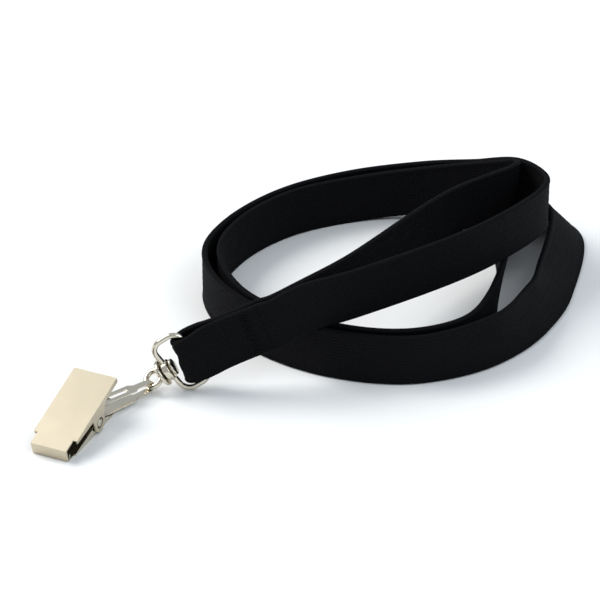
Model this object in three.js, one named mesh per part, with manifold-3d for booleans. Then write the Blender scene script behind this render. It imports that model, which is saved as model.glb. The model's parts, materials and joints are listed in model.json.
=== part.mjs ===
// A lanyard badge holder: a black neck strap sewn round a wire ring, a swivel, a folded
// link and a sprung bulldog clip. Millimetres, +Z up, lying on a table at z = 0.
// The origin is the middle of the clip's lower jaw, on its underside.
import * as THREE from "three";
import * as BufferGeometryUtils from "three/addons/utils/BufferGeometryUtils.js";
import Module from "manifold-3d";

const wasm = await Module();
wasm.setup();

// ---- driving dimensions, mm ----

const RUNNING_GAP = 0.3; // between pieces that touch or slide on the real thing

const STRAP_WIDTH = 15;
const STRAP_THICKNESS = 1.5;
const STRAP_STEPS_PER_SPAN = 2;
const SEWN_LENGTH = 20; // from the ring's bar to where the two strands part
const STRAIGHT_EXIT = 3; // how far each strand runs on before it turns
const STRAND_EASE = 0.25; // how far each strand stands off the seam's line
const LOOP_PLAY = 1.9; // the bar lies askew in a loose loop
const LOOP_CLEARANCE = 1;
const LOOP_CHAMFER = 2.6;
const SEAM_AT = 15.5; // the seam's distance from the ring's bar
const SEAM_WIDTH = 1.8;
const SEAM_HEIGHT = 0.4;

const RING_WIRE = 1.6;
const STRAP_SIDE_PLAY = 0.2; // between each edge of the strap and the ring's short sides
const RING_LENGTH = STRAP_WIDTH + 2 * STRAP_SIDE_PLAY + RING_WIRE; // on the wire's centreline
const RING_DEPTH = 8.6;
const RING_CORNER = 3.2;
const BOSS_RADIUS = 2.9;
const BOSS_THICKNESS = 1.9;

const SHANK_RADIUS = 1.1;
const RIVET_HEAD_RADIUS = 2.4;
const RIVET_HEAD_THICKNESS = 0.8;
const FLANGE_RADIUS = 3.8;
const FLANGE_THICKNESS = 1.3;
const EYE_RADIUS = 2.35; // to the middle of its wire
const EYE_WIRE = 1.6;

const LINK_SHEET = 0.45;
const LINK_NECK_WIDTH = 2;
const LINK_NECK_LENGTH = 4.6;
const LINK_SHOULDER = 1.6;
const LINK_PIN_PLAY = 0.7;
const LINK_PIN_SLACK = 0.35; // how far the link is pushed past the pin
const LINK_SLOT_LENGTH = 7;
const LINK_SLOT_WIDTH = 1.3;

const JAW_SHEET = 0.45;
const LOWER_WIDTH = 11.2;
const LOWER_TAIL = 13.9; // from the origin back to the tail
const LOWER_MOUTH = 16.6; // from the origin forward to the lip
const LOWER_LIP_HEIGHT = 1.9;
const LIP_WIDTH = 10.4;
const REAR_WALL = 0.65;
const WALL_BEHIND_EAR = 1.8; // the side wall's height where the ear ends

const PIN_RADIUS = 1.1;
const PIN_X = 1.3;
const PIN_Z = JAW_SHEET + RUNNING_GAP + LINK_SHEET + LINK_PIN_PLAY + PIN_RADIUS;
const PIN_HOLE_PLAY = 0.2;
const EAR_HOLE_RADIUS = PIN_RADIUS + 0.5;
const EAR_RADIUS = EAR_HOLE_RADIUS + 1;

const PLATE_LENGTH = 28;
const PLATE_SLOPE = THREE.MathUtils.degToRad(15.3);
const PLATE_OVER_PIN = 5.35; // from the pin's middle to the top of the plate
const LIP_OVER_PIN = 1.5; // from the pin's middle to the lip's lower edge
const FLANGE_DEPTH = 1.6;
const LIP_STRETCH = 4.2; // the front of the plate, which has no side flanges

const SPRING_WIRE = 0.7;
const SPRING_TURNS = 2;
const SPRING_PITCH = 0.76;
const SPRING_FOOT = 4.5; // from the pin back to the foot's end
const SPRING_BRIDGE = 7.3; // from the pin back to the bridge under the plate

// ---- where the pieces lie ----

const CLIP_HEADING = THREE.MathUtils.degToRad(-114.5);
const SWIVEL_AT = new THREE.Vector3(22.5, 16.7, 6.65); // middle of the ring's near side
const RING_SLOPE = THREE.MathUtils.degToRad(34.6);
const RING_YAW = THREE.MathUtils.degToRad(3);
const STRAP_SLOPE = THREE.MathUtils.degToRad(22.3);
const STRAP_YAW = THREE.MathUtils.degToRad(5.8);

// The strap's free route, strand to strand: x, y, z of its middle, and its lean in degrees
// from standing on edge.
const ROUTE = [
  [57.5, 24.3, 22.1, 0],
  [70, 37, 22.2, 0],
  [100, 74, 22.6, 0],
  [117.8, 90.8, 20.9, 0],
  [119.8, 95.5, 19.6, 0],
  [116.5, 100, 17.4, 0],
  [95, 109.5, 10.3, 0],
  [76, 109.3, 7.7, 0],
  [55.5, 100.5, 7.6, 0],
  [41, 85, 7.6, 0],
  [35.2, 67.5, 7.6, 0],
  [43.3, 43.5, 7.6, 0],
  [67, 27, 7.6, 0],
  [87, 23.8, 7.6, 0],
  [102.3, 30.2, 7.6, 0],
  [109.6, 43, 7.5, 0],
  [116, 75, 7.5, -14],
  [119, 89, 6.6, -36],
  [122, 99, 6.35, -40],
  [128.5, 104.5, 6.35, -40],
  [134.3, 98, 6.2, -42],
  [129.7, 65.7, 6.45, -38],
  [123.7, 48.1, 7.25, -24],
  [111.2, 30.7, 7.6, -8],
  [89.3, 20.3, 7.6, 0],
  [66.5, 23.4, 7.6, 0],
  [48, 34.4, 7.6, 0],
  [35.2, 50.2, 7.6, 0],
  [31.1, 67.5, 7.6, 0],
  [37.2, 84.2, 7.6, 0],
  [52.3, 101.4, 7.6, 0],
  [72.3, 112.3, 7.6, 0],
  [94, 115, 9.1, 0],
  [110.8, 108.4, 13.2, 0],
  [121.6, 98.6, 18.7, 0],
  [126.5, 90.7, 19.8, 0],
  [127, 79.5, 21.6, 0],
  [108, 54.5, 22.9, 0],
  [73, 30.2, 22.4, 0],
  [57.5, 21.2, 22.6, 0],
];

// ---- materials ----

function finish(color, roughness, metalness) {
  return new THREE.MeshStandardMaterial({ color, roughness, metalness });
}

const KNIT = finish(0x0d0d10, 0.85, 0);
const THREAD = finish(0x17171b, 0.7, 0);
const NICKEL = finish(0xcfc8b8, 0.18, 1);
const SATIN_NICKEL = finish(0xd6ccb4, 0.35, 1);
const SPRING_STEEL = finish(0x8d8778, 0.3, 1);

// ---- solid helpers ----

function solid(geometry) {
  const plain = geometry.clone();
  plain.deleteAttribute("normal");
  plain.deleteAttribute("uv");
  const merged = BufferGeometryUtils.mergeVertices(plain, 1e-5);
  const mesh = new wasm.Mesh({
    numProp: 3,
    vertProperties: new Float32Array(merged.attributes.position.array),
    triVerts: new Uint32Array(merged.index.array),
  });
  mesh.merge();
  return new wasm.Manifold(mesh);
}

function joined(...geometries) {
  return geometries.map(solid).reduce((a, b) => a.add(b));
}

function surface(manifold) {
  const mesh = manifold.getMesh();
  const geometry = new THREE.BufferGeometry();
  geometry.setAttribute("position", new THREE.BufferAttribute(mesh.vertProperties, 3));
  geometry.setIndex(new THREE.BufferAttribute(mesh.triVerts, 1));
  geometry.computeVertexNormals();
  return geometry;
}

function piece(name, geometry, material) {
  const mesh = new THREE.Mesh(geometry, material);
  mesh.name = name;
  return mesh;
}

function outline(points) {
  return new THREE.Shape(points.map(([x, y]) => new THREE.Vector2(x, y)));
}

// A prism of an outline drawn in x and z, standing from y = from to y = to.
function sidePlate(shape, from, to, curveSegments = 12) {
  const geometry = new THREE.ExtrudeGeometry(shape, {
    depth: to - from,
    bevelEnabled: false,
    curveSegments,
  });
  geometry.rotateX(Math.PI / 2);
  geometry.translate(0, to, 0);
  return geometry;
}

// A block from one corner to the opposite corner.
function block(x0, y0, z0, x1, y1, z1) {
  const geometry = new THREE.BoxGeometry(x1 - x0, y1 - y0, z1 - z0);
  geometry.translate((x0 + x1) / 2, (y0 + y1) / 2, (z0 + z1) / 2);
  return geometry;
}

// A round rod along y, or along x.
function rodY(radius, from, to, x = 0, z = 0, sides = 32) {
  const geometry = new THREE.CylinderGeometry(radius, radius, to - from, sides);
  geometry.translate(x, (from + to) / 2, z);
  return geometry;
}

function rodX(radius, from, to, sides = 32) {
  const geometry = new THREE.CylinderGeometry(radius, radius, to - from, sides);
  geometry.rotateZ(Math.PI / 2);
  geometry.translate((from + to) / 2, 0, 0);
  return geometry;
}

// A round wire that follows a curve.
function wire(path, diameter, steps, sides = 10) {
  const section = new THREE.Shape();
  section.absarc(0, 0, diameter / 2, 0, Math.PI * 2);
  return new THREE.ExtrudeGeometry(section, {
    extrudePath: path,
    steps,
    curveSegments: sides,
    bevelEnabled: false,
  });
}

function turned(xAxis, yAxis) {
  const zAxis = new THREE.Vector3().crossVectors(xAxis, yAxis).normalize();
  const basis = new THREE.Matrix4().makeBasis(xAxis, yAxis, zAxis);
  return new THREE.Quaternion().setFromRotationMatrix(basis);
}

// ---- neck strap ----

// A frame that climbs at a slope and heads at a yaw: x along, y level behind, z upright.
function climbing(slope, yaw) {
  return new THREE.Quaternion().setFromEuler(new THREE.Euler(0, -slope, yaw, "ZYX"));
}

const ringTurn = climbing(RING_SLOPE, RING_YAW);
const ringAlong = new THREE.Vector3(1, 0, 0).applyQuaternion(ringTurn);
const barAt = SWIVEL_AT.clone().addScaledVector(ringAlong, RING_DEPTH);

// The frame of the sewn end: x along the strap, y through its thickness, z across it.
const sewnTurn = climbing(STRAP_SLOPE, STRAP_YAW);
const sewnAlong = new THREE.Vector3(1, 0, 0).applyQuaternion(sewnTurn);
const sewnNormal = new THREE.Vector3(0, 1, 0).applyQuaternion(sewnTurn);
const sewnHalf = STRAP_THICKNESS + RUNNING_GAP / 2;

// One end of a strand, side = 1 behind and -1 in front.
function strandEnd(side, beyond) {
  const offset = side * (sewnHalf - STRAP_THICKNESS / 2 + STRAND_EASE);
  const end = barAt.clone().addScaledVector(sewnAlong, SEWN_LENGTH + RUNNING_GAP + beyond);
  return end.addScaledVector(sewnNormal, offset);
}

// A curve that knows how the strap leans, so that the sweep keeps the strap on edge.
class StrapPath extends THREE.CatmullRomCurve3 {
  constructor(points, leans) {
    super(points, false, "centripetal");
    this.leans = leans;
  }

  getSpacedPoints(divisions) {
    return this.getPoints(divisions);
  }

  computeFrenetFrames(segments) {
    const frames = { tangents: [], normals: [], binormals: [] };
    for (let i = 0; i <= segments; i++) {
      const t = i / segments;
      const place = t * (this.leans.length - 1);
      const k = Math.min(Math.floor(place), this.leans.length - 2);
      const lean = THREE.MathUtils.lerp(this.leans[k], this.leans[k + 1], place - k);
      const tangent = this.getTangent(t);
      const sideways = new THREE.Vector3(0, 0, 1).cross(tangent).normalize();
      const upright = new THREE.Vector3().crossVectors(tangent, sideways).normalize();
      const across = upright.multiplyScalar(Math.cos(lean)).addScaledVector(sideways, Math.sin(lean));
      frames.tangents.push(tangent);
      frames.normals.push(across);
      frames.binormals.push(new THREE.Vector3().crossVectors(tangent, across).normalize());
    }
    return frames;
  }
}

function strapSection(width, thickness) {
  const w = width / 2;
  const t = thickness / 2;
  const c = thickness * 0.35;
  return outline([
    [-w, -t + c],
    [-w + c, -t],
    [w - c, -t],
    [w, -t + c],
    [w, t - c],
    [w - c, t],
    [-w + c, t],
    [-w, t - c],
  ]);
}

function neckStrap() {
  const points = ROUTE.map(([x, y, z]) => new THREE.Vector3(x, y, z));
  const leans = ROUTE.map((row) => THREE.MathUtils.degToRad(row[3]));
  const start = [strandEnd(1, 0), strandEnd(1, STRAIGHT_EXIT)];
  const end = [strandEnd(-1, STRAIGHT_EXIT), strandEnd(-1, 0)];
  const path = new StrapPath([...start, ...points, ...end], [0, 0, ...leans, 0, 0]);
  const geometry = new THREE.ExtrudeGeometry(strapSection(STRAP_WIDTH, STRAP_THICKNESS), {
    extrudePath: path,
    steps: STRAP_STEPS_PER_SPAN * (ROUTE.length + 3),
    bevelEnabled: false,
  });
  return piece("neck_strap", geometry, KNIT);
}

// The sewn end: the strap doubled round the ring's bar, a teardrop seen from its edge.
function strapEndLoop() {
  const hole = RING_WIRE / 2 + LOOP_CLEARANCE;
  const nose = hole + STRAP_THICKNESS;
  const play = LOOP_PLAY;
  const shut = 7;
  const outer = new THREE.Shape();
  outer.moveTo(SEWN_LENGTH, -sewnHalf);
  outer.lineTo(SEWN_LENGTH, sewnHalf);
  outer.lineTo(shut, sewnHalf);
  outer.lineTo(-play, nose);
  outer.absarc(-play, 0, nose, Math.PI / 2, Math.PI * 1.5);
  outer.lineTo(shut, -sewnHalf);
  const inner = new THREE.Path();
  inner.moveTo(shut, 0);
  inner.lineTo(play, hole);
  inner.lineTo(-play, hole);
  inner.absarc(-play, 0, hole, Math.PI / 2, Math.PI * 1.5);
  inner.lineTo(play, -hole);
  outer.holes.push(inner);
  const geometry = new THREE.ExtrudeGeometry(outer, {
    depth: STRAP_WIDTH - 2 * RUNNING_GAP,
    bevelEnabled: false,
    curveSegments: 12,
  });
  geometry.translate(0, 0, -STRAP_WIDTH / 2 + RUNNING_GAP);
  const half = STRAP_WIDTH / 2;
  const tip = -play - nose - 0.1;
  const corners = [
    [SEWN_LENGTH + 1, -half],
    [SEWN_LENGTH + 1, half],
    [tip + LOOP_CHAMFER, half],
    [tip, half - LOOP_CHAMFER],
    [tip, -half + LOOP_CHAMFER],
    [tip + LOOP_CHAMFER, -half],
  ];
  const loop = solid(geometry).intersect(solid(sidePlate(outline(corners), -nose - 1, nose + 1)));
  return piece("strap_end_loop", surface(loop), KNIT);
}

// The row of stitches that closes the loop, seen as one bar of thread on the front face.
function seamThread() {
  const half = STRAP_WIDTH / 2 - 1.2;
  const front = -sewnHalf - RUNNING_GAP;
  const bar = block(SEAM_AT, front - SEAM_HEIGHT, -half, SEAM_AT + SEAM_WIDTH, front, half);
  return piece("seam_thread", bar, THREAD);
}

// ---- ring ----

// In the ring's frame the near side's middle is the origin, x runs to the strap's bar and
// z along it.
function roundedLoop(depth, length, corner) {
  const half = length / 2;
  const quarter = (cx, cz, sx, sz, first) => {
    const points = [];
    const count = 4;
    for (let i = 0; i <= count; i++) {
      const a = (i / count) * (Math.PI / 2);
      const alongX = first ? Math.sin(a) : Math.cos(a);
      const alongZ = first ? Math.cos(a) : Math.sin(a);
      points.push(new THREE.Vector3(cx + sx * corner * alongX, 0, cz + sz * corner * alongZ));
    }
    return points;
  };
  return [
    ...quarter(depth - corner, half - corner, 1, 1, true),
    ...quarter(depth - corner, -half + corner, 1, -1, false),
    ...quarter(corner, -half + corner, -1, -1, true),
    ...quarter(corner, half - corner, -1, 1, false),
  ];
}

// A closed ring of wire: a section is placed at each corner point, square to the bisector.
function closedWire(rim, diameter, sides = 12) {
  const positions = [];
  const index = [];
  const count = rim.length;
  rim.forEach((point, i) => {
    const before = rim[(i + count - 1) % count];
    const after = rim[(i + 1) % count];
    const tangent = after.clone().sub(before).normalize();
    const outward = new THREE.Vector3(0, 1, 0).cross(tangent).normalize();
    for (let s = 0; s < sides; s++) {
      const a = (s / sides) * Math.PI * 2;
      const at = point.clone().addScaledVector(outward, (Math.cos(a) * diameter) / 2);
      positions.push(at.x, at.y + (Math.sin(a) * diameter) / 2, at.z);
      const next = (s + 1) % sides;
      const here = i * sides;
      const there = ((i + 1) % count) * sides;
      index.push(here + s, there + next, there + s, here + s, here + next, there + next);
    }
  });
  const geometry = new THREE.BufferGeometry();
  geometry.setAttribute("position", new THREE.Float32BufferAttribute(positions, 3));
  geometry.setIndex(index);
  return geometry;
}

function wireRing() {
  const rim = roundedLoop(RING_DEPTH, RING_LENGTH, RING_CORNER);
  const boss = rodX(BOSS_RADIUS, -BOSS_THICKNESS / 2, BOSS_THICKNESS / 2, 36);
  const bore = rodX(SHANK_RADIUS + PIN_HOLE_PLAY, -BOSS_THICKNESS, BOSS_THICKNESS, 36);
  const ring = solid(closedWire(rim, RING_WIRE)).add(solid(boss)).subtract(solid(bore));
  return piece("wire_ring", surface(ring), NICKEL);
}

// ---- swivel ----

// In the swivel's frame x runs from the ring out towards the clip.
const flangeFrom = BOSS_THICKNESS / 2 + RUNNING_GAP;
const headTo = -BOSS_THICKNESS / 2 - RUNNING_GAP;
const eyeAt = flangeFrom + FLANGE_THICKNESS + EYE_RADIUS;

function swivelEye() {
  const eye = new THREE.TorusGeometry(EYE_RADIUS, EYE_WIRE / 2, 12, 32);
  eye.translate(eyeAt, 0, 0);
  const flange = rodX(FLANGE_RADIUS, flangeFrom, flangeFrom + FLANGE_THICKNESS, 36);
  const shank = rodX(SHANK_RADIUS, headTo - RIVET_HEAD_THICKNESS, flangeFrom + FLANGE_THICKNESS / 2);
  return piece("swivel_eye", surface(joined(eye, flange, shank)), NICKEL);
}

function rivetHead() {
  const from = headTo - RIVET_HEAD_THICKNESS;
  const bore = SHANK_RADIUS + PIN_HOLE_PLAY;
  const profile = [
    [bore, from],
    [RIVET_HEAD_RADIUS - 0.5, from],
    [RIVET_HEAD_RADIUS, from + 0.5],
    [RIVET_HEAD_RADIUS, headTo],
    [bore, headTo],
    [bore, from],
  ].map(([r, h]) => new THREE.Vector2(r, h));
  const geometry = new THREE.LatheGeometry(profile, 36);
  geometry.rotateZ(-Math.PI / 2);
  return piece("swivel_rivet_head", geometry, NICKEL);
}

// ---- link ----

// In the link's frame the origin is the eye's wire, x runs to the clip's pin and y across.
function linkStrap(reach) {
  const neck = EYE_WIRE / 2 + RUNNING_GAP;
  const bow = PIN_RADIUS + LINK_PIN_PLAY;
  const strip = (grow) => {
    const shape = new THREE.Shape();
    shape.absarc(0, 0, neck + grow, Math.PI / 2, Math.PI * 1.5);
    shape.absarc(reach + LINK_PIN_SLACK, 0, bow + grow, -Math.PI / 2, Math.PI / 2);
    shape.closePath();
    return shape;
  };
  const outside = sidePlate(strip(LINK_SHEET), -linkBodyWidth / 2, linkBodyWidth / 2, 16);
  const inside = sidePlate(strip(0), -linkBodyWidth, linkBodyWidth, 16);
  const tall = bow + 2;
  const shoulder = [
    [-neck - 2, LINK_NECK_WIDTH / 2],
    [LINK_NECK_LENGTH, LINK_NECK_WIDTH / 2],
    [LINK_NECK_LENGTH + LINK_SHOULDER, linkBodyWidth / 2 + 0.1],
    [-neck - 2, linkBodyWidth / 2 + 0.1],
  ];
  const shave = (side) => {
    const shape = outline(shoulder.map(([x, y]) => [x, side * y]));
    const geometry = new THREE.ExtrudeGeometry(shape, { depth: 2 * tall, bevelEnabled: false });
    geometry.translate(0, 0, -tall);
    return solid(geometry);
  };
  const slotFrom = LINK_NECK_LENGTH + 2 * LINK_SHOULDER;
  const slot = block(slotFrom, -LINK_SLOT_WIDTH / 2, 0, slotFrom + LINK_SLOT_LENGTH, LINK_SLOT_WIDTH / 2, tall);
  const band = solid(outside).subtract(solid(inside)).subtract(solid(slot));
  const loop = band.subtract(shave(1)).subtract(shave(-1));
  return piece("link_strap", surface(loop), NICKEL);
}

// ---- where the link lies ----

// The eye lies in the plane of the swivel's axis and the link's crosswise direction.
const upright = new THREE.Vector3(0, 0, 1);
const pinWorld = new THREE.Vector3(PIN_X, 0, PIN_Z).applyAxisAngle(upright, CLIP_HEADING);
const outAxis = ringAlong.clone().negate();
const eyeWorld = SWIVEL_AT.clone().addScaledVector(outAxis, eyeAt);

function eyeSide(towards) {
  const across = new THREE.Vector3(towards.y, -towards.x, 0).normalize();
  return outAxis.clone().addScaledVector(across, -outAxis.dot(across)).normalize();
}

let hookWorld = eyeWorld.clone();
for (let i = 0; i < 4; i++) {
  hookWorld = eyeWorld.clone().addScaledVector(eyeSide(pinWorld.clone().sub(hookWorld)), EYE_RADIUS);
}
const linkWay = pinWorld.clone().sub(hookWorld);
const linkReach = linkWay.length();
linkWay.normalize();
const linkAcross = new THREE.Vector3(-linkWay.y, linkWay.x, 0).normalize();

// ---- clip ----

// In the clip's frame x runs to the mouth, y across and z up from the table.
const lowerHalf = LOWER_WIDTH / 2;
const plateHalf = lowerHalf + RUNNING_GAP + JAW_SHEET;

// The spring's coils stand inside the side walls, and the link's body fits between them.
const coilOuter = lowerHalf - JAW_SHEET - RUNNING_GAP / 2 - SPRING_WIRE / 2;
const coilInner = coilOuter - SPRING_TURNS * SPRING_PITCH;
const linkYaw = Math.abs(Math.atan2(linkWay.y, linkWay.x) - CLIP_HEADING);
const linkPastPin = LINK_PIN_SLACK + PIN_RADIUS + LINK_PIN_PLAY + LINK_SHEET;
const linkRoom = coilInner - SPRING_WIRE / 2 - linkPastPin * Math.sin(linkYaw);
const linkBodyWidth = (2 * linkRoom) / Math.cos(linkYaw);

// Where the link's edge passes out over the lower jaw's side wall.
const linkCrossing = (lowerHalf - JAW_SHEET - linkBodyWidth / 2 / Math.cos(linkYaw)) / Math.tan(linkYaw);
const sillFrom = PIN_X - linkCrossing;

function lowerWallShape() {
  const shape = new THREE.Shape();
  shape.moveTo(-LOWER_TAIL, 0);
  shape.lineTo(LOWER_MOUTH - LIP_STRETCH + 1.6, 0);
  shape.lineTo(LOWER_MOUTH - LIP_STRETCH + 1.6, JAW_SHEET + 0.1);
  shape.lineTo(PIN_X + 3.6, 2.3);
  shape.lineTo(PIN_X + EAR_RADIUS, PIN_Z + 0.3);
  shape.absarc(PIN_X, PIN_Z, EAR_RADIUS - 0.4, 0.3, Math.PI - 0.3);
  shape.lineTo(PIN_X - EAR_RADIUS - 1.4, WALL_BEHIND_EAR);
  shape.lineTo(sillFrom, REAR_WALL);
  shape.lineTo(-LOWER_TAIL, REAR_WALL);
  return shape;
}

function lowerJaw() {
  const wallTo = LOWER_MOUTH - LIP_STRETCH + 1.6;
  const floor = block(-LOWER_TAIL, -lowerHalf, 0, wallTo, lowerHalf, JAW_SHEET);
  const apron = block(wallTo - 0.5, -LIP_WIDTH / 2, 0, LOWER_MOUTH, LIP_WIDTH / 2, JAW_SHEET);
  const lip = block(LOWER_MOUTH - JAW_SHEET, -LIP_WIDTH / 2, 0, LOWER_MOUTH, LIP_WIDTH / 2, LOWER_LIP_HEIGHT);
  const walls = [-1, 1].map((side) => {
    const from = side > 0 ? lowerHalf - JAW_SHEET : -lowerHalf;
    return sidePlate(lowerWallShape(), from, from + JAW_SHEET);
  });
  const bore = rodY(PIN_RADIUS + PIN_HOLE_PLAY, -lowerHalf - 1, lowerHalf + 1, PIN_X, PIN_Z);
  const jaw = joined(floor, apron, lip, ...walls).subtract(solid(bore));
  return piece("lower_jaw", surface(jaw), NICKEL);
}

function pivotPin() {
  return piece("pivot_pin", rodY(PIN_RADIUS, -plateHalf, plateHalf, PIN_X, PIN_Z), NICKEL);
}

// In the upper jaw's frame the pin is the origin, x runs along the plate to the mouth and z
// is square to the plate.
const pinToMouth = (LOWER_MOUTH + RUNNING_GAP - PIN_X) / Math.cos(PLATE_SLOPE);
const plateMouth = pinToMouth + JAW_SHEET - LIP_OVER_PIN * Math.tan(PLATE_SLOPE);
const plateTop = PLATE_OVER_PIN;

function upperFlangeShape() {
  const top = plateTop - JAW_SHEET / 2;
  const tail = plateMouth - PLATE_LENGTH;
  const front = plateMouth - LIP_STRETCH;
  const under = plateTop - FLANGE_DEPTH;
  const shape = new THREE.Shape();
  shape.moveTo(tail, top);
  shape.lineTo(tail, under);
  shape.lineTo(-EAR_RADIUS - 1.6, under);
  shape.lineTo(-EAR_RADIUS, 1);
  shape.absarc(0, 0, EAR_RADIUS, Math.PI * 0.94, Math.PI * 2.06);
  shape.lineTo(EAR_RADIUS + 0.5, 3.3);
  shape.lineTo(front, plateTop - 1.1);
  shape.lineTo(front, top);
  return shape;
}

function upperJaw() {
  const tail = plateMouth - PLATE_LENGTH;
  const front = plateMouth - LIP_STRETCH;
  const plate = block(tail, -plateHalf, plateTop - JAW_SHEET, front, plateHalf, plateTop);
  const nose = block(front - 0.5, -LIP_WIDTH / 2, plateTop - JAW_SHEET, plateMouth, LIP_WIDTH / 2, plateTop);
  const lipFrom = plateMouth - JAW_SHEET;
  const lip = block(lipFrom, -LIP_WIDTH / 2, LIP_OVER_PIN, plateMouth, LIP_WIDTH / 2, plateTop);
  const flanges = [-1, 1].map((side) => {
    const from = side > 0 ? plateHalf - JAW_SHEET : -plateHalf;
    return sidePlate(upperFlangeShape(), from, from + JAW_SHEET);
  });
  const bore = rodY(EAR_HOLE_RADIUS, -plateHalf - 1, plateHalf + 1);
  const jaw = joined(plate, nose, lip, ...flanges).subtract(solid(bore));
  return piece("upper_jaw", surface(jaw), SATIN_NICKEL);
}

// One wire: a foot on the floor, a coil on the pin, a bridge under the plate, the second
// coil and the second foot.
function jawSpring() {
  const coil = PIN_RADIUS + RUNNING_GAP + SPRING_WIRE / 2;
  const foot = JAW_SHEET + 0.1 + SPRING_WIRE / 2;
  const under = plateTop - JAW_SHEET - RUNNING_GAP - SPRING_WIRE / 2;
  const bridgeX = PIN_X - SPRING_BRIDGE;
  const rise = (PIN_X + under * Math.sin(PLATE_SLOPE) - bridgeX) * Math.tan(PLATE_SLOPE);
  const bridgeZ = PIN_Z + under * Math.cos(PLATE_SLOPE) + rise;
  const footX = PIN_X - SPRING_FOOT;
  const half = [
    new THREE.Vector3(footX, coilOuter, foot),
    new THREE.Vector3(footX + 2, coilOuter, foot + 0.1),
  ];
  const from = -Math.PI / 2;
  const to = Math.PI * (0.4 + 2 * SPRING_TURNS);
  const steps = SPRING_TURNS * 12 + 5;
  for (let i = 0; i <= steps; i++) {
    const a = THREE.MathUtils.lerp(from, to, i / steps);
    const y = THREE.MathUtils.lerp(coilOuter, coilInner, i / steps);
    half.push(new THREE.Vector3(PIN_X + coil * Math.cos(a), y, PIN_Z + coil * Math.sin(a)));
  }
  half.push(new THREE.Vector3(bridgeX + 2, coilInner, bridgeZ - 1.6));
  half.push(new THREE.Vector3(bridgeX, coilInner - 0.6, bridgeZ));
  const mirrored = half.map((p) => new THREE.Vector3(p.x, -p.y, p.z)).reverse();
  const path = new THREE.CatmullRomCurve3([...half, ...mirrored], false, "centripetal");
  return piece("jaw_spring", wire(path, SPRING_WIRE, 2 * (steps + 10), 6), SPRING_STEEL);
}

// ---- assembly ----

const holder = new THREE.Group();
holder.add(neckStrap());

const sewnEnd = new THREE.Group();
sewnEnd.position.copy(barAt);
sewnEnd.quaternion.copy(sewnTurn);
sewnEnd.add(strapEndLoop(), seamThread());
holder.add(sewnEnd);

const ringGroup = new THREE.Group();
ringGroup.position.copy(SWIVEL_AT);
ringGroup.quaternion.copy(ringTurn);
ringGroup.add(wireRing());
holder.add(ringGroup);

const swivelGroup = new THREE.Group();
swivelGroup.position.copy(SWIVEL_AT);
const eyeAcross = linkAcross.clone().addScaledVector(outAxis, -linkAcross.dot(outAxis)).normalize();
swivelGroup.quaternion.copy(turned(outAxis, eyeAcross));
swivelGroup.add(swivelEye(), rivetHead());
holder.add(swivelGroup);

const linkGroup = new THREE.Group();
linkGroup.position.copy(hookWorld);
linkGroup.quaternion.copy(turned(linkWay, linkAcross));
linkGroup.add(linkStrap(linkReach));
holder.add(linkGroup);

const clipGroup = new THREE.Group();
clipGroup.rotation.z = CLIP_HEADING;
clipGroup.add(lowerJaw(), pivotPin(), jawSpring());
const upperGroup = new THREE.Group();
upperGroup.position.set(PIN_X, 0, PIN_Z);
upperGroup.rotation.y = PLATE_SLOPE;
upperGroup.add(upperJaw());
clipGroup.add(upperGroup);
holder.add(clipGroup);

export default holder;
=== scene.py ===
"""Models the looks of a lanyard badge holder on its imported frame."""
import json
import math

import bmesh
import bpy
from bpy.props import FloatProperty, FloatVectorProperty, PointerProperty
from bpy.types import Operator, Panel, PropertyGroup
from mathutils import Euler, Matrix, Vector


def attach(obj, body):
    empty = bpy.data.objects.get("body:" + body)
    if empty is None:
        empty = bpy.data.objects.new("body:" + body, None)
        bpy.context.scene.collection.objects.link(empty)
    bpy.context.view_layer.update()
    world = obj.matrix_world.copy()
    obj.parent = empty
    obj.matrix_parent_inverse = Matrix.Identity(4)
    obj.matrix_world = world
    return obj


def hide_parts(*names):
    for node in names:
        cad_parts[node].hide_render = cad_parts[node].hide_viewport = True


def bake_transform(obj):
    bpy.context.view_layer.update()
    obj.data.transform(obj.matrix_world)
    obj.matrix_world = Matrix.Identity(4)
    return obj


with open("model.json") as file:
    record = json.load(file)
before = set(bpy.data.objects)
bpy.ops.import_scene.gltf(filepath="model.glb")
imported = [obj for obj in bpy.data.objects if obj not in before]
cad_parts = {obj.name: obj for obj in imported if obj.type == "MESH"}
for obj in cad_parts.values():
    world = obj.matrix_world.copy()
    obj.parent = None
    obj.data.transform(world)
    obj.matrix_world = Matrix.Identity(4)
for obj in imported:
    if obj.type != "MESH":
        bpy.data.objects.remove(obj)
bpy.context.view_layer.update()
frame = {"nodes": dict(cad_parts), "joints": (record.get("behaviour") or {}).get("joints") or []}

bl_info = {
    "name": "Lanyard Badge Holder",
    "version": (1, 0, 0),
    "blender": (4, 5, 0),
    "location": "View3D > Sidebar > Lanyard",
    "description": "Builds a neck strap, wire ring, swivel, link and sprung clip",
    "category": "Add Mesh",
}

MM = 0.001
JOINTS = {joint["name"]: joint for joint in frame["joints"]}

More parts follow.
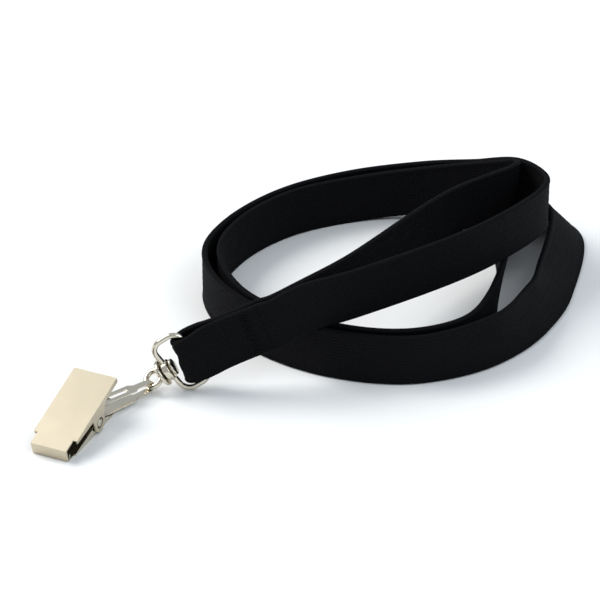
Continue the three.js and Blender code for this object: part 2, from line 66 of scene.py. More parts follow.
# The strap's free route, strand to strand, as in part.mjs: x, y, z of its middle in metres,
# and its lean in degrees from standing on edge.
ROUTE = [
    (0.0575, 0.0243, 0.0221, 0),
    (0.07, 0.037, 0.0222, 0),
    (0.1, 0.074, 0.0226, 0),
    (0.1178, 0.0908, 0.0209, 0),
    (0.1198, 0.0955, 0.0196, 0),
    (0.1165, 0.1, 0.0174, 0),
    (0.095, 0.1095, 0.0103, 0),
    (0.076, 0.1093, 0.0077, 0),
    (0.0555, 0.1005, 0.0076, 0),
    (0.041, 0.085, 0.0076, 0),
    (0.0352, 0.0675, 0.0076, 0),
    (0.0433, 0.0435, 0.0076, 0),
    (0.067, 0.027, 0.0076, 0),
    (0.087, 0.0238, 0.0076, 0),
    (0.1023, 0.0302, 0.0076, 0),
    (0.1096, 0.043, 0.0075, 0),
    (0.116, 0.075, 0.0075, -14),
    (0.119, 0.089, 0.0066, -36),
    (0.122, 0.099, 0.00635, -40),
    (0.1285, 0.1045, 0.00635, -40),
    (0.1343, 0.098, 0.0062, -42),
    (0.1297, 0.0657, 0.00645, -38),
    (0.1237, 0.0481, 0.00725, -24),
    (0.1112, 0.0307, 0.0076, -8),
    (0.0893, 0.0203, 0.0076, 0),
    (0.0665, 0.0234, 0.0076, 0),
    (0.048, 0.0344, 0.0076, 0),
    (0.0352, 0.0502, 0.0076, 0),
    (0.0311, 0.0675, 0.0076, 0),
    (0.0372, 0.0842, 0.0076, 0),
    (0.0523, 0.1014, 0.0076, 0),
    (0.0723, 0.1123, 0.0076, 0),
    (0.094, 0.115, 0.0091, 0),
    (0.1108, 0.1084, 0.0132, 0),
    (0.1216, 0.0986, 0.0187, 0),
    (0.1265, 0.0907, 0.0198, 0),
    (0.127, 0.0795, 0.0216, 0),
    (0.108, 0.0545, 0.0229, 0),
    (0.073, 0.0302, 0.0224, 0),
    (0.0575, 0.0212, 0.0226, 0),
]
STRAP_SLOPE = math.radians(22.3)
STRAP_YAW = math.radians(5.8)
SEWN_LENGTH = 20.3 * MM
STRAND_OFFSET = 1.15 * MM
STRAIGHT_EXIT = 3 * MM
STITCH_STEP = 0.345 * MM
KNIT_COLUMN = 0.95 * MM
KNIT_STITCH = 0.69 * MM
NAP = 0.10 * MM
PATH_EVERY = 12

SEAM_AT = 15.2 * MM
SEAM_WIDTH = 2.4 * MM
SEAM_MARGIN = 1.1 * MM
SEAM_TURNS = 15
SEAM_FACE = 0.88 * MM
THREAD_SUNK = 0.03 * MM
THREAD_LIFT = 0.07 * MM
THREAD_WIDTH = 0.3 * MM

RING_DEPTH = 8.6 * MM
RING_HALF = 8.5 * MM
RING_CORNER = 3.2 * MM
BOSS_RADIUS = 2.9 * MM
BOSS_HALF = 0.95 * MM

EYE_RADIUS = 2.35 * MM
EYE_WIRE_RADIUS = 0.8 * MM
EYE_AT = 4.9 * MM
FLANGE_RADIUS = 3.8 * MM
FLANGE_SPAN = (1.25 * MM, 2.3 * MM)
COLLAR_RADIUS = 1.7 * MM
COLLAR_SPAN = (2.1 * MM, 3.2 * MM)
SHANK_RADIUS = 1.1 * MM
SHANK_SPAN = (-2 * MM, 1.5 * MM)
HEAD_RADIUS = 2.4 * MM
HEAD_SPAN = (-2.05 * MM, -1.25 * MM)

LENS = 191.5
CAMERA_RISE = math.radians(31)
CAMERA_BACK = 0.9
CAMERA_TARGET = (57.8, 64, 0)


# ---- settings ----


class StrapSettings(PropertyGroup):
    width: FloatProperty(
        name="Width", description="Width of the flat strap", default=0.015, unit="LENGTH"
    )
    thickness: FloatProperty(
        name="Thickness", description="Thickness of the strap", default=0.0016, unit="LENGTH"
    )
    colour: FloatVectorProperty(
        name="Knit", description="Colour of the knitted yarn", subtype="COLOR",
        default=(0.0032, 0.0032, 0.0038), min=0, max=1,
    )
    sheen_colour: FloatVectorProperty(
        name="Sheen", description="Colour of the light that the yarn's fuzz catches",
        subtype="COLOR", default=(0.62, 0.66, 0.8), min=0, max=1,
    )
    thread_colour: FloatVectorProperty(
        name="Thread", description="Colour of the sewing thread", subtype="COLOR",
        default=(0.0024, 0.0024, 0.0028), min=0, max=1,
    )


class MetalSettings(PropertyGroup):
    ring_wire: FloatProperty(
        name="Ring Wire", description="Diameter of the ring's wire", default=0.0016,
        unit="LENGTH",
    )
    edge: FloatProperty(
        name="Edge", description="Radius of the clip's rounded edges", default=0.00016,
        unit="LENGTH",
    )
    nickel: FloatVectorProperty(
        name="Nickel", description="Colour of the polished plating", subtype="COLOR",
        default=(0.66, 0.61, 0.51), min=0, max=1,
    )
    satin: FloatVectorProperty(
        name="Satin Nickel", description="Colour of the satin top plate", subtype="COLOR",
        default=(0.62, 0.55, 0.42), min=0, max=1,
    )
    # Painted shade: this dark colour goes on the jaws' inner faces, under the plates and down in
    # the channel, where shade falls.
    inner: FloatVectorProperty(
        name="Inner Faces", description="Colour of the jaws' dull inner faces", subtype="COLOR",
        default=(0.10, 0.085, 0.05), min=0, max=1,
    )
    steel: FloatVectorProperty(
        name="Spring Steel", description="Colour of the spring's wire", subtype="COLOR",
        default=(0.42, 0.39, 0.32), min=0, max=1,
    )


class StageSettings(PropertyGroup):
    floor: FloatVectorProperty(
        name="Floor", description="Colour of the floor", subtype="COLOR",
        default=(0.92, 0.92, 0.92), min=0, max=1,
    )
    key: FloatProperty(name="Key Light", description="Power of the key light", default=15.0)
    fill: FloatProperty(name="Fill Light", description="Power of the fill light", default=4.0)
    sky: FloatProperty(name="Sky", description="Strength of the surrounding light", default=0.62)


# ---- shader maths ----


class Signal:
    """A socket's value, so that shader maths reads as arithmetic."""

    def __init__(self, finish, socket):
        self.finish = finish
        self.socket = socket

    def math(self, operation, *values):
        return self.finish.add("ShaderNodeMath", {"operation": operation}, values)

    def __add__(self, other):
        return self.math("ADD", self, other)

    def __radd__(self, other):
        return self.math("ADD", other, self)

    def __sub__(self, other):
        return self.math("SUBTRACT", self, other)

    def __rsub__(self, other):
        return self.math("SUBTRACT", other, self)

    def __mul__(self, other):
        return self.math("MULTIPLY", self, other)

    def __truediv__(self, other):
        return self.math("DIVIDE", self, other)

    def __pow__(self, other):
        return self.math("POWER", self, other)

    def __abs__(self):
        return self.math("ABSOLUTE", self)

    def wave(self):
        """A smooth wave from 0 to 1 with a period of 1."""
        return self.math("SINE", self * math.tau) * 0.5 + 0.5

    def fraction(self):
        return self.math("FRACT", self)

    def clamped(self):
        return self.finish.add("ShaderNodeClamp", {}, [self, 0.0, 1.0])


class Finish:
    """A material that is built up node by node."""

    def __init__(self, name):
        self.material = bpy.data.materials.new(name)
        self.material.use_nodes = True
        self.tree = self.material.node_tree
        self.tree.nodes.clear()

    def add(self, kind, settings, inputs, output=0):
        node = self.tree.nodes.new(kind)
        for key, value in settings.items():
            setattr(node, key, value)
        pairs = inputs.items() if isinstance(inputs, dict) else enumerate(inputs)
        for key, value in pairs:
            if isinstance(value, Signal):
                self.tree.links.new(value.socket, node.inputs[key])
            else:
                node.inputs[key].default_value = value
        return Signal(self, node.outputs[output]) if len(node.outputs) else None

    def mix(self, factor, first, second):
        inputs = {0: factor, 6: first, 7: second}
        return self.add("ShaderNodeMix", {"data_type": "RGBA"}, inputs, 2)

    def place(self, scale=(1, 1, 1), turn=(0, 0, 0)):
        """Object coordinates, stretched and turned."""
        coordinates = self.add("ShaderNodeTexCoord", {}, {}, "Object")
        inputs = {"Vector": coordinates, "Rotation": turn, "Scale": scale}
        return self.add("ShaderNodeMapping", {}, inputs)

    def noise(self, vector, scale, detail=3.0):
        inputs = {"Vector": vector, "Scale": scale, "Detail": detail}
        return self.add("ShaderNodeTexNoise", {}, inputs, "Fac")

    def bump(self, height, distance, strength=1.0):
        inputs = {"Strength": strength, "Distance": distance, "Height": height}
        return self.add("ShaderNodeBump", {}, inputs)

    def surface(self, **inputs):
        named = {key.replace("_", " "): value for key, value in inputs.items()}
        shader = self.add("ShaderNodeBsdfPrincipled", {}, named)
        self.add("ShaderNodeOutputMaterial", {}, [shader])
        return self.material


def rgba(colour, gain=1.0):
    return (*[min(1.0, channel * gain) for channel in colour], 1.0)


def knit_finish(settings):
    """Black knitted yarn: chevron stitches in columns, with a soft fuzz."""
    finish = Finish("black_knit")
    cloth = finish.add("ShaderNodeUVMap", {"uv_map": "cloth"}, {})
    parts = finish.tree.nodes.new("ShaderNodeSeparateXYZ")
    finish.tree.links.new(cloth.socket, parts.inputs[0])
    across = Signal(finish, parts.outputs[0])
    along = Signal(finish, parts.outputs[1])
    column = abs((across / KNIT_COLUMN).fraction() - 0.5)
    stitch = (along / KNIT_STITCH + column * 1.3).wave()
    ridge = 1 - (column * 2) ** 3
    fuzz = finish.noise(finish.place(), 2600.0, 4.0)
    broad = finish.noise(finish.place(), 90.0, 2.0)
    height = stitch * 0.8 + ridge * 0.9 + fuzz * 0.35
    shade = (stitch * 0.5 * ridge + fuzz * 0.4 + broad * 0.25).clamped()
    colour = finish.mix(shade, rgba(settings.colour, 0.3), rgba(settings.colour, 1.9))
    return finish.surface(
        Base_Color=colour,
        Roughness=0.72 + fuzz * 0.16,
        Specular_IOR_Level=0.07,
        Sheen_Weight=0.008,
        Sheen_Roughness=0.4,
        Sheen_Tint=rgba(settings.sheen_colour),
        Normal=finish.bump(height, 0.17 * MM, 1.0),
    )


def thread_finish(settings):
    """Twisted sewing thread."""
    finish = Finish("black_thread")
    twist = finish.noise(finish.place((1, 1, 4)), 5200.0, 2.0)
    colour = finish.mix(twist, rgba(settings.thread_colour, 0.7), rgba(settings.thread_colour, 2.2))
    return finish.surface(
        Base_Color=colour,
        Roughness=0.75 + twist * 0.15,
        Specular_IOR_Level=0.1,
        Normal=finish.bump(twist, 0.03 * MM),
    )


def polished_finish(name, colour, roughness):
    """Bright plated metal with faint smears and fine scratches."""
    finish = Finish(name)
    smear = finish.noise(finish.place(), 260.0, 3.0)
    scratch = finish.noise(finish.place((1, 9, 2), (0.4, 0.2, 0.7)), 1500.0, 2.0)
    tone = finish.mix(smear, rgba(colour, 0.9), rgba(colour, 1.06))
    return finish.surface(
        Base_Color=tone,
        Metallic=1.0,
        Roughness=(roughness - 0.05) + smear * 0.08 + scratch * 0.04,
        Normal=finish.bump(scratch + smear, 0.006 * MM, 0.6),
    )


def satin_finish(settings, turn):
    """Brushed nickel whose grain runs along the clip."""
    finish = Finish("satin_nickel")
    grain = finish.noise(finish.place((0.6, 14, 6), (0, 0, turn)), 900.0, 3.0)
    smear = finish.noise(finish.place(), 180.0, 2.0)
    tone = finish.mix(smear, rgba(settings.satin, 0.93), rgba(settings.satin, 1.04))
    return finish.surface(
        Base_Color=tone,
        Metallic=1.0,
        Roughness=0.34 + grain * 0.12 + smear * 0.06,
        Normal=finish.bump(grain, 0.004 * MM, 0.5),
    )


def painted_shade_finish(settings):
    """Painted shade for the jaws' inner faces: a dark brown, mottled at random and duller than the
    plating, that darkens where the clip lies in shade.
    """
    finish = Finish("painted_inner_shade")
    shade_mottle = finish.noise(finish.place(), 420.0, 3.0)
    tone = finish.mix(shade_mottle, rgba(settings.inner, 0.6), rgba(settings.inner, 1.5))
    return finish.surface(
        Base_Color=tone,
        Metallic=0.9,
        Roughness=0.38 + shade_mottle * 0.15,
        Normal=finish.bump(shade_mottle, 0.008 * MM),
    )


def spring_finish(settings):
    """Drawn spring wire, darker than the plating."""
    finish = Finish("spring_wire")
    draw = finish.noise(finish.place((3, 3, 1)), 1400.0, 3.0)
    tone = finish.mix(draw, rgba(settings.steel, 0.75), rgba(settings.steel, 1.2))
    return finish.surface(
        Base_Color=tone,
        Metallic=1.0,
        Roughness=0.26 + draw * 0.14,
        Normal=finish.bump(draw, 0.005 * MM),
    )


def floor_finish(settings):
    """A matt white table."""
    finish = Finish("white_table")
    grain = finish.noise(finish.place(), 60.0, 2.0)
    colour = finish.mix(grain, rgba(settings.floor, 0.99), rgba(settings.floor, 1.01))
    return finish.surface(Base_Color=colour, Roughness=0.9, Specular_IOR_Level=0.1)


# ---- mesh helpers ----


def deselect():
    if bpy.context.object and bpy.context.object.mode != "OBJECT":
        bpy.ops.object.mode_set(mode="OBJECT")
    bpy.ops.object.select_all(action="DESELECT")


def only(obj):
    deselect()
    obj.select_set(True)
    bpy.context.view_layer.objects.active = obj


def apply_modifiers(obj):
    only(obj)
    for modifier in list(obj.modifiers):
        bpy.ops.object.modifier_apply(modifier=modifier.name)


def settle(obj):
    """Puts the object's place, turn and scale into its mesh."""
    only(obj)
    bpy.ops.object.transform_apply(location=True, rotation=True, scale=True)


def face_out(obj):
    only(obj)
    bpy.ops.object.mode_set(mode="EDIT")
    bpy.ops.mesh.select_all(action="SELECT")
    bpy.ops.mesh.remove_doubles(threshold=1e-7)
    bpy.ops.mesh.normals_make_consistent(inside=False)
    bpy.ops.object.mode_set(mode="OBJECT")


def joined(name, objects):
    deselect()
    for obj in objects:
        obj.select_set(True)
    bpy.context.view_layer.objects.active = objects[0]
    bpy.ops.object.join()
    piece = bpy.context.view_layer.objects.active
    piece.name = name
    piece.data.name = name
    return piece


def rounded(obj, width, segments=2, angle=30):
    modifier = obj.modifiers.new("edges", "BEVEL")
    modifier.width = width
    modifier.segments = segments
    modifier.limit_method = "ANGLE"
    modifier.angle_limit = math.radians(angle)
    apply_modifiers(obj)


def pressed(obj, width):
    """Rounds a sheet piece's edges and keeps its flat faces flat."""
    rounded(obj, width)
    smooth(obj, 45)
    obj.modifiers.new("flats", "WEIGHTED_NORMAL").keep_sharp = True
    apply_modifiers(obj)


def smooth(obj, angle=35):
    only(obj)
    bpy.ops.object.shade_smooth_by_angle(angle=math.radians(angle))


def finished(obj, finish, body, node):
    """Gives a piece its finish and its place in the frame."""
    obj.data.materials.clear()
    obj.data.materials.append(finish)
    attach(obj, body)
    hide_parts(node)


def frame_of(x_axis, y_axis, origin):
    """A placing matrix from two axes and an origin."""
    x = Vector(x_axis).normalized()
    z = x.cross(Vector(y_axis)).normalized()
    y = z.cross(x)
    turn = Matrix((x, y, z)).transposed().to_4x4()
    return Matrix.Translation(origin) @ turn


def line_inside(obj, finish, inner):
    """Gives the faces that a test picks out a second finish."""
    obj.data.materials.append(finish)
    slot = len(obj.data.materials) - 1
    for face in obj.data.polygons:
        if inner(face.center, face.normal):
            face.material_index = slot


def bent_wire(name, points, diameter, detail, closed=False):
    """A round wire through a list of points."""
    line = bpy.data.curves.new(name, "CURVE")
    line.dimensions = "3D"
    line.bevel_depth = diameter / 2
    line.bevel_resolution = detail
    line.use_fill_caps = not closed
    spline = line.splines.new("POLY")
    spline.points.add(len(points) - 1)
    for spot, point in zip(spline.points, points):
        spot.co = (*point, 1.0)
    spline.use_cyclic_u = closed
    obj = bpy.data.objects.new(name, line)
    bpy.context.scene.collection.objects.link(obj)
    only(obj)
    bpy.ops.object.convert(target="MESH")
    face_out(bpy.context.object)
    return bpy.context.object


def disc(name, place, radius, span, edge):
    """A round disc along a span of a place's x axis, with rounded rims."""
    start, end = span
    deselect()
    bpy.ops.mesh.primitive_cylinder_add(vertices=64, radius=radius, depth=end - start)
    obj = bpy.context.object
    obj.name = name
    along = Matrix.Translation(((start + end) / 2, 0, 0))
    obj.matrix_world = place @ along @ Matrix.Rotation(math.pi / 2, 4, "Y")
    settle(obj)
    rounded(obj, edge, 4, 50)
    return obj


def merged_copy(name, node):
    """A copy of a solid from the frame, with its flat faces made whole."""
    mesh = frame["nodes"][node].data.copy()
    mesh.name = name
    obj = bpy.data.objects.new(name, mesh)
    bpy.context.scene.collection.objects.link(obj)
    mesh.materials.clear()
    shape = bmesh.new()
    shape.from_mesh(mesh)
    bmesh.ops.remove_doubles(shape, verts=shape.verts, dist=2e-6)
    bmesh.ops.dissolve_limit(
        shape, angle_limit=math.radians(1.0), verts=shape.verts, edges=shape.edges
    )
    shape.to_mesh(mesh)
    shape.free()
    return obj


# ---- strap ----


def sewn_place():
    bar = Vector(JOINTS["ring_tilt"]["pos_m"])
    turn = Euler((0, -STRAP_SLOPE, 0)).to_matrix()
    yaw = Matrix.Rotation(STRAP_YAW, 3, "Z")
    return Matrix.Translation(bar) @ (yaw @ turn).to_4x4()


def spaced_spline(points, u):
    """A point on the centripetal curve through the points, at span place u."""
    k = min(int(u), len(points) - 2)
    w = u - k
    p1, p2 = points[k], points[k + 1]
    p0 = points[k - 1] if k > 0 else p1 * 2 - p2
    p3 = points[k + 2] if k + 2 < len(points) else p2 * 2 - p1
    d0 = max((p1 - p0).length, 1e-9) ** 0.5
    d1 = max((p2 - p1).length, 1e-9) ** 0.5
    d2 = max((p3 - p2).length, 1e-9) ** 0.5
    m1 = ((p1 - p0) / d0 - (p2 - p0) / (d0 + d1) + (p2 - p1) / d1) * d1
    m2 = ((p2 - p1) / d1 - (p3 - p1) / (d1 + d2) + (p3 - p2) / d2) * d1
    bend = (-3 * p1 + 3 * p2 - 2 * m1 - m2) * w * w
    return p1 + m1 * w + bend + (2 * p1 - 2 * p2 + m1 + m2) * w**3


def stations_along(points, leans, step):
    """Evenly spaced (place, lean, run) stations on the curve."""
    fine = 60
    spans = len(points) - 1
    places = [spaced_spline(points, i / fine) for i in range(spans * fine + 1)]
    runs = [0.0]
    for before, after in zip(places, places[1:]):
        runs.append(runs[-1] + (after - before).length)
    count = max(4, round(runs[-1] / step))
    made = []
    k = 0
    for i in range(count + 1):
        run = runs[-1] * i / count
        while k < len(runs) - 2 and runs[k + 1] < run:
            k += 1
        part = (run - runs[k]) / max(runs[k + 1] - runs[k], 1e-12)
        u = (k + part) / fine
        span = min(int(u), spans - 1)
        ease = u - span
        ease = ease * ease * (3 - 2 * ease)
        lean = leans[span] + (leans[span + 1] - leans[span]) * ease
        made.append((places[k].lerp(places[k + 1], part), lean, run))
    return made


def heading(stations, i):
    """The way that the curve runs at a station."""
    before = stations[max(i - 1, 0)][0]
    after = stations[min(i + 1, len(stations) - 1)][0]
    return (after - before).normalized()


def quarter_section():
    """A quarter of the strap's outline, in shares of its half width and half thickness."""
    return [
        (1.0, 0.0), (0.992, 0.5), (0.955, 0.96), (0.9, 1.06), (0.85, 0.92), (0.8, 0.8),
        (0.68, 0.9), (0.55, 0.84), (0.4, 0.92), (0.27, 0.85), (0.13, 0.93), (0.0, 0.86),
    ]


def full_section():
    """The strap's whole outline, round and back, as (across, through)."""
    quarter = quarter_section()
    top = quarter + [(-a, b) for a, b in reversed(quarter[:-1])]
    return top + [(a, -b) for a, b in reversed(top[1:-1])]


def band_mesh(name, rings, width, thickness):
    """Skins rings of (middle, across, through, run) into one closed strap."""
    outline = full_section()
    count = len(outline)
    spots, faces, cloth = [], [], []
    for i, (middle, across, through, run) in enumerate(rings):
        tuft = NAP if i % 2 else 0.0
        for a, b in outline:
            reach = a * width / 2 + (math.copysign(tuft, a) if abs(a) > 0.94 else 0.0)
            spots.append(middle + across * reach + through * (b * thickness / 2))
            cloth.append((a * width / 2, run))
    for i in range(len(rings) - 1):
        for j in range(count):
            n = (j + 1) % count
            a, b = i * count, (i + 1) * count
            faces.append((a + j, b + j, b + n, a + n))
    faces.append(tuple(range(count)))
    last = (len(rings) - 1) * count
    faces.append(tuple(last + j for j in reversed(range(count))))
    mesh = bpy.data.meshes.new(name)
    mesh.from_pydata(spots, [], faces)
    layer = mesh.uv_layers.new(name="cloth")
    for loop in mesh.loops:
        layer.data[loop.index].uv = cloth[loop.vertex_index]
    mesh.polygons.foreach_set("use_smooth", [True] * len(mesh.polygons))
    obj = bpy.data.objects.new(name, mesh)
    bpy.context.scene.collection.objects.link(obj)
    shape = bmesh.new()
    shape.from_mesh(mesh)
    bmesh.ops.recalc_face_normals(shape, faces=shape.faces)
    shape.to_mesh(mesh)
    shape.free()
    return obj


def strap_rings():
    """Rings of (middle, across, through, run) from one sewn strand to the other."""
    place = sewn_place()
    ends = []
    for side in (1, -1):
        ends.append([
            place @ Vector((SEWN_LENGTH + more, side * STRAND_OFFSET, 0))
            for more in (0, STRAIGHT_EXIT)
        ])
    points = [*ends[0], *[Vector(row[:3]) for row in ROUTE], *reversed(ends[1])]
    leans = [0, 0, *[math.radians(row[3]) for row in ROUTE], 0, 0]
    stations = stations_along(points, leans, STITCH_STEP)
    rings = []
    for i, (middle, lean, run) in enumerate(stations):
        way = heading(stations, i)
        side = Vector((0, 0, 1)).cross(way).normalized()
        upright = way.cross(side).normalized()
        across = upright * math.cos(lean) + side * math.sin(lean)
        rings.append((middle, across, way.cross(across).normalized(), run))
    return rings


class LANYARD_OT_strap(Operator):
    """Knit the free run of the neck strap along its route"""

    bl_idname = "lanyard.strap"
    bl_label = "Neck Strap"

    def execute(self, context):
        settings = context.scene.lanyard_strap
        rings = strap_rings()
        strap = band_mesh("knitted_strap", rings, settings.width, settings.thickness)
        finished(strap, knit_finish(settings), "strap", "neck_strap")
        path = [tuple(ring[0]) for ring in rings[::PATH_EVERY]] + [tuple(rings[-1][0])]
        return {"FINISHED"}


def loop_rings():
    """The sewn end: out along the back leaf, round the bar, home along the front leaf."""
    leaf = [
        (20.3, 1.15), (17.5, 0.95), (14, 0.86), (9.5, 0.92), (6.2, 1.2), (3.4, 1.75),
        (0.8, 2.3), (-1.6, 2.3), (-3.4, 1.5),
    ]
    nose = [(-4.15, 0.0)]
    flat = leaf + nose + [(x, -y) for x, y in reversed(leaf)]
    points = [Vector((x * MM, y * MM, 0)) for x, y in flat]
    stations = stations_along(points, [0] * len(points), STITCH_STEP)
    rings = []
    for i, (middle, _, run) in enumerate(stations):
        way = heading(stations, i)
        across = Vector((0, 0, 1))
        rings.append((middle, across, way.cross(across).normalized(), run))
    return rings


def ruffle(obj, width):
    """Lets the fold round the bar wander, flare low down and draw in at its top corner."""
    for vertex in obj.data.vertices:
        x, z = vertex.co.x / MM, vertex.co.z / (width / 2)
        near = max(0.0, min(1.0, (4 - x) / 8))
        wander = 0.28 * math.sin(3.4 * z + 0.6) + 0.14 * math.sin(8.2 * z)
        vertex.co.x += (wander - 0.35 * max(0.0, -z) + 0.5 * max(0.0, z) ** 2) * near * MM
        vertex.co.z *= 1 - (0.15 * near if z > 0 else 0.06 * near)


class LANYARD_OT_sewn_end(Operator):
    """Fold the strap round the ring's bar"""

    bl_idname = "lanyard.sewn_end"
    bl_label = "Sewn End"

    def execute(self, context):
        settings = context.scene.lanyard_strap
        rings = loop_rings()
        loop = band_mesh("sewn_loop", rings, settings.width, settings.thickness)
        ruffle(loop, settings.width)
        loop.data.transform(sewn_place())
        finish = bpy.data.materials["black_knit"]
        finished(loop, finish, "strap", "strap_end_loop")
        return {"FINISHED"}


class LANYARD_OT_stitches(Operator):
    """Sew the zigzag seam that closes the loop"""

    bl_idname = "lanyard.stitches"
    bl_label = "Seam Stitches"

    def execute(self, context):
        settings = context.scene.lanyard_strap
        half = settings.width / 2 - SEAM_MARGIN
        rows = []
        for side in (-1, 1):
            face = side * (SEAM_FACE + settings.thickness / 2 - THREAD_SUNK)
            points = []
            for i in range(SEAM_TURNS * 6 + 1):
                sweep = i / 6
                swing = abs((sweep % 2) - 1)
                lift = THREAD_LIFT * math.sin(math.pi * (sweep % 1))
                z = -half + 2 * half * sweep / SEAM_TURNS
                x = SEAM_AT + SEAM_WIDTH * swing
                points.append((x, face + side * lift, z))
            rows.append(bent_wire("row", points, THREAD_WIDTH, detail=2))
        seam = joined("seam_stitches", rows)
        seam.data.transform(sewn_place())
        smooth(seam, 60)
        finished(seam, thread_finish(settings), "strap", "seam_thread")
        return {"FINISHED"}


# ---- ring and swivel ----


def ring_place():
    across = Vector(JOINTS["ring_tilt"]["axis"])
    out = Vector(JOINTS["swivel_spin"]["axis"])
    origin = Vector(JOINTS["swivel_spin"]["pos_m"])
    along = -out
    behind = across.cross(along)
    return frame_of(along, behind, origin)


class LANYARD_OT_ring(Operator):
    """Bend the wire ring and its flat boss"""

    bl_idname = "lanyard.ring"
    bl_label = "Wire Ring"

    def execute(self, context):
        settings = context.scene.lanyard_metal
        place = ring_place()
        near, far, side = RING_CORNER, RING_DEPTH - RING_CORNER, RING_HALF - RING_CORNER
        corners = [(far, side, 0), (near, side, 90), (near, -side, 180), (far, -side, 270)]
        points = []
        for x, z, start in corners:
            for i in range(13):
                angle = math.radians(start + 90 * i / 12)
                spot = (x + RING_CORNER * math.cos(angle), 0, z + RING_CORNER * math.sin(angle))
                points.append(place @ Vector(spot))
        wire = bent_wire("ring_wire", points, settings.ring_wire, closed=True, detail=8)
        boss = disc("boss", place, BOSS_RADIUS, (-BOSS_HALF, BOSS_HALF), 0.35 * MM)
        ring = joined("ring_and_boss", [wire, boss])
        smooth(ring, 40)
        finish = polished_finish("polished_nickel", settings.nickel, 0.12)
        finished(ring, finish, "ring", "wire_ring")
        return {"FINISHED"}


class LANYARD_OT_swivel(Operator):
    """Turn the swivel's eye, flange, shank and rivet head"""

    bl_idname = "lanyard.swivel"
    bl_label = "Swivel"

    def execute(self, context):
        out = Vector(JOINTS["swivel_spin"]["axis"])
        origin = Vector(JOINTS["swivel_spin"]["pos_m"])
        place = frame_of(out, JOINTS["link_swing"]["axis"], origin)
        deselect()
        bpy.ops.mesh.primitive_torus_add(
            major_radius=EYE_RADIUS,
            minor_radius=EYE_WIRE_RADIUS,
            major_segments=72,
            minor_segments=28,
        )
        eye = bpy.context.object
        eye.matrix_world = place @ Matrix.Translation((EYE_AT, 0, 0))
        settle(eye)
        flange = disc("flange", place, FLANGE_RADIUS, FLANGE_SPAN, 0.42 * MM)
        collar = disc("collar", place, COLLAR_RADIUS, COLLAR_SPAN, 0.4 * MM)
        swivel = joined("swivel_hook", [eye, flange, collar])
        smooth(swivel, 45)
        finish = bpy.data.materials["polished_nickel"]
        finished(swivel, finish, "swivel", "swivel_eye")
        shank = disc("shank", place, SHANK_RADIUS, SHANK_SPAN, 0.2 * MM)
        head = disc("head", place, HEAD_RADIUS, HEAD_SPAN, 0.38 * MM)
        rivet = joined("rivet", [head, shank])
        smooth(rivet, 45)
        finished(rivet, finish, "swivel", "swivel_rivet_head")
        return {"FINISHED"}


# ---- link and clip ----


class LANYARD_OT_link(Operator):
    """Fold the link that joins the eye to the clip's pin"""

    bl_idname = "lanyard.link"
    bl_label = "Folded Link"

    def execute(self, context):
        settings = context.scene.lanyard_metal
        link = merged_copy("folded_link", "link_strap")
        pressed(link, settings.edge * 0.8)
        finish = bpy.data.materials["polished_nickel"]
        finished(link, finish, "link", "link_strap")
        return {"FINISHED"}


class LANYARD_OT_clip(Operator):
    """Press both jaws and set the pin they turn on"""

    bl_idname = "lanyard.clip"
    bl_label = "Clip Jaws"

    def execute(self, context):
        settings = context.scene.lanyard_metal
        polished = polished_finish("jaw_nickel", settings.nickel, 0.16)
        lower = merged_copy("lower_jaw_shell", "lower_jaw")
        pressed(lower, settings.edge)
        finished(lower, polished, "clip", "lower_jaw")
        # Faces inside the channel and under the plates get painted shade rather than the plating's
        # colour.
        shade_material = painted_shade_finish(settings)
        pin_at = Vector(JOINTS["jaw_open"]["pos_m"])
        side_on = Vector(JOINTS["clip_swing"]["axis"]).normalized()

        # Painted shade on the lower jaw: the inner faces of its side walls and the low channel
        # floor.
        def shaded_lower_faces(spot, normal):
            out = (spot - pin_at).dot(side_on)
            facing_in = normal.dot(side_on) * out < -0.2 * abs(out)
            return facing_in or (normal.z > 0.7 and spot.z < 0.6 * MM)

        line_inside(lower, shade_material, shaded_lower_faces)
        pin = merged_copy("pin_rod", "pivot_pin")
        rounded(pin, settings.edge)
        smooth(pin)
        finished(pin, polished, "clip", "pivot_pin")
        upper = merged_copy("upper_jaw_shell", "upper_jaw")
        pressed(upper, settings.edge)
        axis = Vector(JOINTS["jaw_open"]["axis"])
        turn = math.atan2(axis.y, axis.x)
        finished(upper, satin_finish(settings, -turn), "jaw", "upper_jaw")

        # Painted shade on the upper jaw: the inner faces of its flanges and every face that looks
        # down.
        def shaded_upper_faces(spot, normal):
            out = (spot - pin_at).dot(side_on)
            facing_in = abs(out) > 5 * MM and normal.dot(side_on) * out < -0.2 * abs(out)
            return facing_in or normal.z < -0.7

        line_inside(upper, shade_material, shaded_upper_faces)
        return {"FINISHED"}


class LANYARD_OT_spring(Operator):
    """Wind the wire spring that shuts the jaws"""

    bl_idname = "lanyard.spring"
    bl_label = "Jaw Spring"

    def execute(self, context):
        settings = context.scene.lanyard_metal
        spring = merged_copy("wound_spring", "jaw_spring")
        modifier = spring.modifiers.new("round", "SUBSURF")
        modifier.levels = 1
        modifier.render_levels = 1
        apply_modifiers(spring)
        smooth(spring, 60)
        spring.data.materials.clear()
        spring.data.materials.append(spring_finish(settings))
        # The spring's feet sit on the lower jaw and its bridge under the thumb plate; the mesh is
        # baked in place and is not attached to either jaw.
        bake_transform(spring)
        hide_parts("jaw_spring")
        return {"FINISHED"}


# ---- stage ----


def soft_light(name, spot, target, size, power, colour):
    lamp = bpy.data.lights.new(name, "AREA")
    lamp.shape = "RECTANGLE"
    lamp.size, lamp.size_y = size
    lamp.energy = power
    lamp.color = colour
    obj = bpy.data.objects.new(name, lamp)
    obj.location = spot
    obj.rotation_mode = "QUATERNION"
    obj.rotation_quaternion = (Vector(target) - Vector(spot)).to_track_quat("-Z", "Y")
    bpy.context.scene.collection.objects.link(obj)


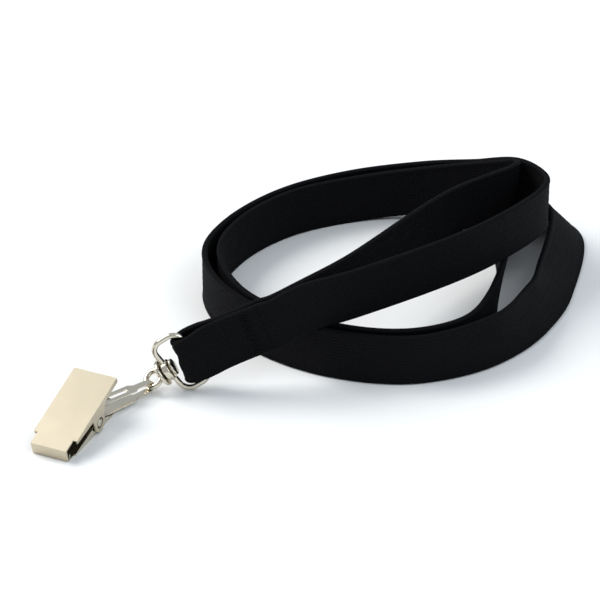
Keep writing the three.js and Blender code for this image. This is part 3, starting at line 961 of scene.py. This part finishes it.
class LANYARD_OT_camera(Operator):
    """Set the camera that looks down on the strap and the clip"""

    bl_idname = "lanyard.camera"
    bl_label = "Camera"

    def execute(self, context):
        lens = bpy.data.cameras.new("camera")
        lens.sensor_width = 36
        lens.lens = LENS
        lens.clip_start = 0.05
        lens.clip_end = 20
        camera = bpy.data.objects.new("camera", lens)
        target = Vector(CAMERA_TARGET) * MM
        back = Vector((0, -math.cos(CAMERA_RISE), math.sin(CAMERA_RISE)))
        camera.location = target + back * CAMERA_BACK
        camera.rotation_mode = "QUATERNION"
        camera.rotation_quaternion = (-back).to_track_quat("-Z", "Y")
        context.scene.collection.objects.link(camera)
        context.scene.camera = camera
        return {"FINISHED"}


class LANYARD_OT_stage(Operator):
    """Lay the white table and hang the soft lights"""

    bl_idname = "lanyard.stage"
    bl_label = "Stage"

    def execute(self, context):
        settings = context.scene.lanyard_stage
        deselect()
        bpy.ops.mesh.primitive_plane_add(size=6)
        table = bpy.context.object
        table.name = "table_top"
        table.data.materials.append(floor_finish(settings))
        middle = (0.06, 0.05, 0)
        soft_light("key", (-0.85, 0.35, 1.0), middle, (0.8, 0.8), settings.key, (1, 0.985, 0.95))
        soft_light("fill", (0.8, -0.35, 0.9), middle, (0.8, 0.8), settings.fill, (0.86, 0.94, 1))
        world = bpy.data.worlds.new("studio")
        context.scene.world = world
        world.use_nodes = True
        back = world.node_tree.nodes["Background"]
        back.inputs["Color"].default_value = (0.88, 0.94, 1.0, 1)
        back.inputs["Strength"].default_value = settings.sky
        context.scene.view_settings.view_transform = "Standard"
        return {"FINISHED"}


class LANYARD_PT_parts(Panel):
    """Lists the holder's sizes, colours and pieces"""

    bl_idname = "LANYARD_PT_parts"
    bl_label = "Lanyard Badge Holder"
    bl_space_type = "VIEW_3D"
    bl_region_type = "UI"
    bl_category = "Lanyard"

    def draw(self, context):
        for name in SETTINGS:
            group = getattr(context.scene, name)
            box = self.layout.box()
            for key in group.__annotations__:
                box.prop(group, key)
        for step in STEPS:
            self.layout.operator(step.bl_idname)


SETTINGS = {
    "lanyard_strap": StrapSettings,
    "lanyard_metal": MetalSettings,
    "lanyard_stage": StageSettings,
}
STEPS = (
    LANYARD_OT_camera,
    LANYARD_OT_strap,
    LANYARD_OT_sewn_end,
    LANYARD_OT_stitches,
    LANYARD_OT_ring,
    LANYARD_OT_swivel,
    LANYARD_OT_link,
    LANYARD_OT_clip,
    LANYARD_OT_spring,
    LANYARD_OT_stage,
)


def register():
    for group in SETTINGS.values():
        bpy.utils.register_class(group)
    for step in (*STEPS, LANYARD_PT_parts):
        bpy.utils.register_class(step)
    for name, group in SETTINGS.items():
        setattr(bpy.types.Scene, name, PointerProperty(type=group))


def unregister():
    for name in SETTINGS:
        delattr(bpy.types.Scene, name)
    for step in reversed((*SETTINGS.values(), *STEPS, LANYARD_PT_parts)):
        bpy.utils.unregister_class(step)


def main():
    register()
    bpy.ops.lanyard.camera()
    bpy.ops.lanyard.strap()
    bpy.ops.lanyard.sewn_end()
    bpy.ops.lanyard.stitches()
    bpy.ops.lanyard.ring()
    bpy.ops.lanyard.swivel()
    bpy.ops.lanyard.link()
    bpy.ops.lanyard.clip()
    bpy.ops.lanyard.spring()
    bpy.ops.lanyard.stage()
    deselect()


if __name__ == "__main__":
    main()
